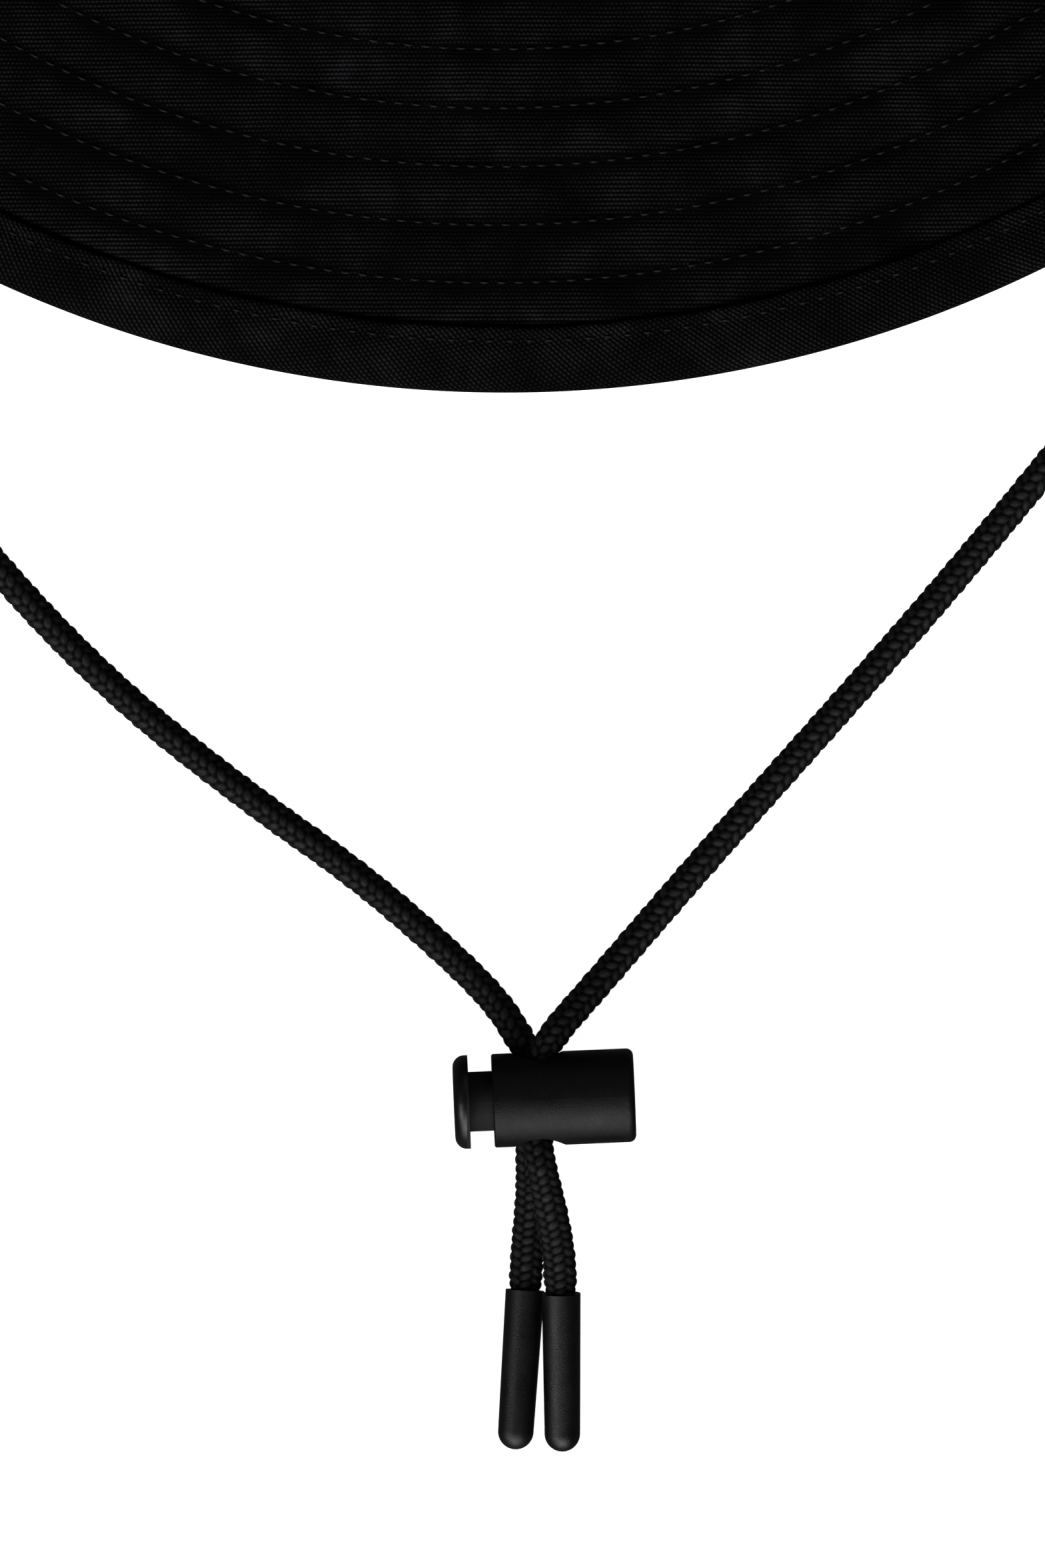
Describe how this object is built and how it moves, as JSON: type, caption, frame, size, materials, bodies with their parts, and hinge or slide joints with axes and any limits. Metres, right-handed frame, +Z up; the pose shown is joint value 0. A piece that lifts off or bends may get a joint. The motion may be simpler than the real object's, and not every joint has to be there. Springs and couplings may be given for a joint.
{
  "type": "bucket hat",
  "caption": "Canvas bucket hat with a stitched, bound brim, eyelets, and a braided chin cord with a sprung barrel cord lock.",
  "frame": {"origin": "on the surface the hat stands on, at the middle of the hat's own box", "axes": "+Z up through the crown, the front of the brim and the chin cord at -Y, the wearer's right side at -X"},
  "size_m": [0.312, 0.4465, 0.1248],
  "materials": {
    "canvas": "black plain-weave cotton canvas, matte",
    "binding": "the same black canvas cut on the bias",
    "interlining": "stiff woven interlining",
    "lining": "black polyester-cotton lining, slight sheen",
    "sweatband": "black twill sweatband",
    "label": "blank white satin label",
    "tape": "black woven twill tape",
    "cord_braid": "black braided polyester cord",
    "lock_plastic": "black moulded acetal, fine satin grain",
    "tip_plastic": "black moulded plastic, satin",
    "spring_steel": "drawn spring wire",
    "eyelet_brass": "brass with black lacquer"
  },
  "bodies": {
    "hat": {"brim_binding": "binding", "brim_interlining_back": "interlining", "brim_interlining_front": "interlining", "brim_under_back": "canvas", "brim_under_front": "canvas", "brim_upper_back": "canvas", "brim_upper_front": "canvas", "care_label": "label", "cord_grip_left": "cord_braid", "cord_grip_right": "cord_braid", "cord_leg_left": "cord_braid", "cord_leg_right": "cord_braid", "cord_tab_left": "tape", "cord_tab_right": "tape", "cord_tail_left": "cord_braid", "cord_tail_right": "cord_braid", "cord_tip_left": "tip_plastic", "cord_tip_right": "tip_plastic", "crown_side_back": "canvas", "crown_side_front": "canvas", "crown_tip": "canvas", "eyelet_left_front": "eyelet_brass", "eyelet_left_rear": "eyelet_brass", "eyelet_right_front": "eyelet_brass", "eyelet_right_rear": "eyelet_brass", "eyelet_washer_left_front": "eyelet_brass", "eyelet_washer_left_rear": "eyelet_brass", "eyelet_washer_right_front": "eyelet_brass", "eyelet_washer_right_rear": "eyelet_brass", "lining_side_back": "lining", "lining_side_front": "lining", "lining_tip": "lining", "sweatband": "sweatband"},
    "lock": {"lock_barrel": "lock_plastic", "lock_spring": "spring_steel"},
    "plunger": {"lock_plunger": "lock_plastic"}
  },
  "joints": [
    {"name": "lock_slide", "type": "slide", "parent": "hat", "child": "lock", "axis": [0.0419, -0.9991, 0], "range_m": [0, 0.01], "deforming": ["cord_leg_left", "cord_leg_right", "cord_grip_left", "cord_grip_right", "cord_tail_left", "cord_tail_right"]},
    {"name": "plunger_press", "type": "slide", "parent": "lock", "child": "plunger", "axis": [0.9991, 0.0419, 0], "range_m": [0, 0.0025], "stiffness_N_per_m": 400, "springref_m": -0.002, "deforming": ["lock_spring"]}
  ]
}
